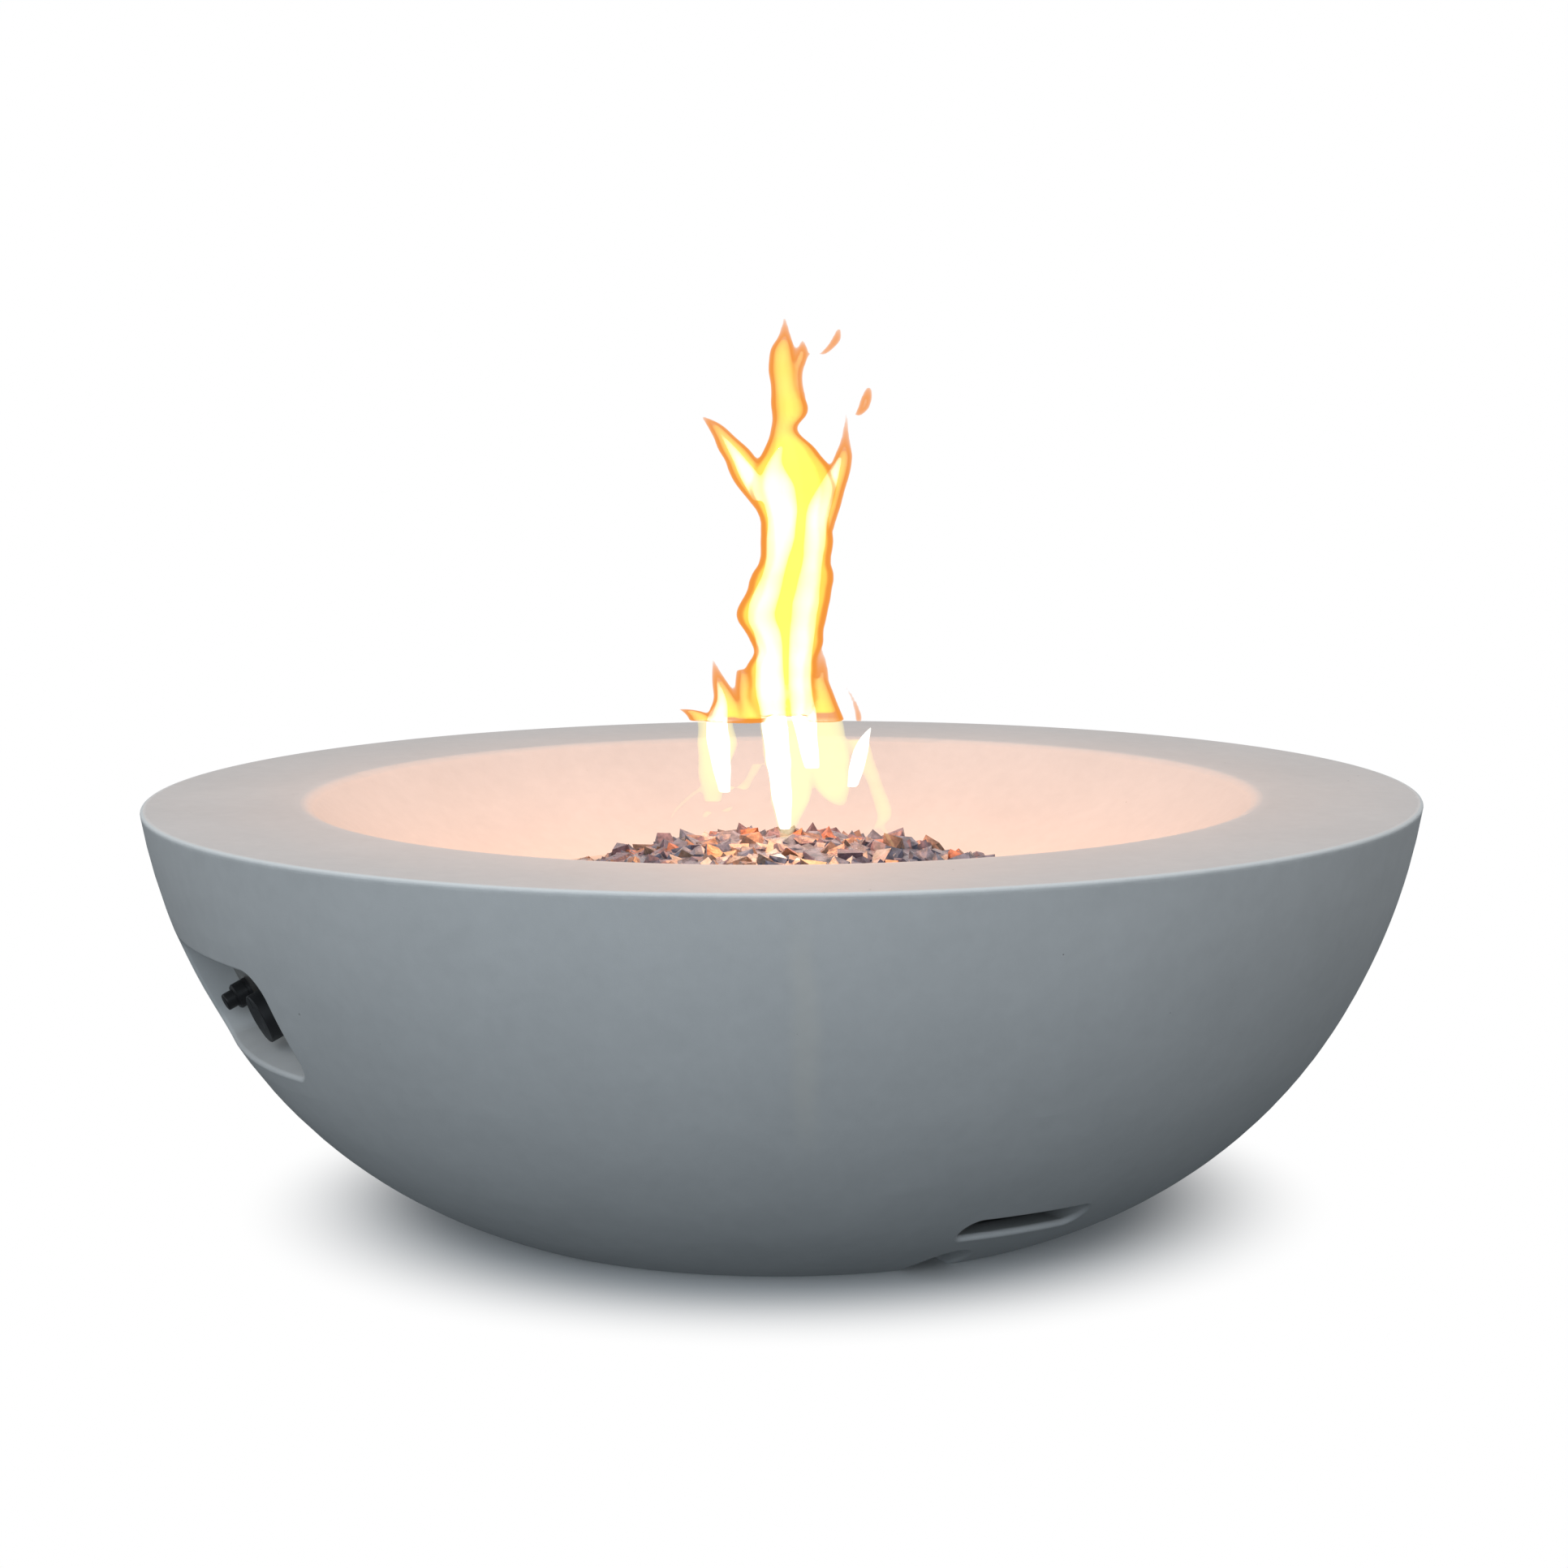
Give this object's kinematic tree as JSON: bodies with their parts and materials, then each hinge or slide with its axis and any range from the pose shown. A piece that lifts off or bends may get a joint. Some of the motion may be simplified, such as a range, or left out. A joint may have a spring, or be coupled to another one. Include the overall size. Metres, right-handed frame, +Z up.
{
  "type": "gas fire bowl",
  "caption": "Wide round cast-concrete bowl with a flat rim, a gas burner under crushed glass, and a side recess with a control knob and push-button igniter.",
  "frame": {"origin": "centre of the foot, on the ground", "axes": "+Z up, the control recess faces -Y, the hose notch faces +X"},
  "size_m": [1.069, 1.069, 0.347],
  "materials": {
    "concrete": "matt cast concrete",
    "stainless": "brushed",
    "panel_steel": "polished",
    "steel": "zinc plated",
    "spring_steel": "bright",
    "cast_aluminium": "die cast",
    "brass": "machined",
    "copper": "drawn copper",
    "hose_steel": "corrugated",
    "fire_glass": "crushed, amber, grey and violet",
    "ceramic": "unglazed",
    "wire": "silicone",
    "knob_plastic": "moulded",
    "igniter_plastic": "moulded",
    "cell_wrap": "plain sleeve"
  },
  "bodies": {
    "root": {"bowl": "concrete", "burner_pan": "stainless", "burner_ring": "stainless", "burner_nipple": "steel", "pan_washers": "steel", "pan_locknuts": "steel", "air_mixer": "cast_aluminium", "gas_orifice": "brass", "fire_glass": "fire_glass", "electrode_bracket": "stainless", "bracket_screws": "steel", "electrode_insulator": "ceramic", "electrode_pin": "steel", "thermocouple": "steel", "thermocouple_lead": "copper", "ignition_wire": "wire", "control_panel": "panel_steel", "panel_inserts": "brass", "panel_screws": "steel", "valve_body": "cast_aluminium", "valve_bonnet": "cast_aluminium", "bonnet_screws": "steel", "valve_screws": "steel", "stem_spring": "spring_steel", "magnet_unit": "brass", "outlet_fitting": "brass", "inlet_elbow": "brass", "connector_hose": "hose_steel", "hose_nuts": "brass", "igniter_body": "igniter_plastic", "igniter_nut": "igniter_plastic", "igniter_spring": "spring_steel", "battery_cell": "cell_wrap", "igniter_terminals": "steel"},
    "rotor": {"valve_plug": "brass"},
    "knob": {"valve_stem": "steel", "control_knob": "knob_plastic", "knob_clip": "spring_steel"},
    "plunger": {"magnet_plunger": "steel"},
    "button": {"igniter_button": "igniter_plastic"}
  },
  "joints": [
    {"name": "knob_turn", "type": "hinge", "parent": "root", "child": "rotor", "pos_m": [0, -0.4417, 0.2], "axis": [0, -0.9063, -0.4226], "range_deg": [0, 180]},
    {"name": "knob_push", "type": "slide", "parent": "rotor", "child": "knob", "axis": [0, 0.9063, 0.4226], "range_m": [0, 0.0035], "stiffness_N_per_m": 900, "springref_m": -0.004, "deforming": ["stem_spring"]},
    {"name": "plunger_push", "type": "slide", "parent": "root", "child": "plunger", "axis": [0, 0.9063, 0.4226], "range_m": [0, 0.0035]},
    {"name": "igniter_press", "type": "slide", "parent": "root", "child": "button", "axis": [0, 0.9063, 0.4226], "range_m": [0, 0.005], "stiffness_N_per_m": 400, "springref_m": -0.004, "deforming": ["igniter_spring"]}
  ],
  "couplings": [
    {"joint": "plunger_push", "follows": "knob_push", "ratio": 1}
  ]
}
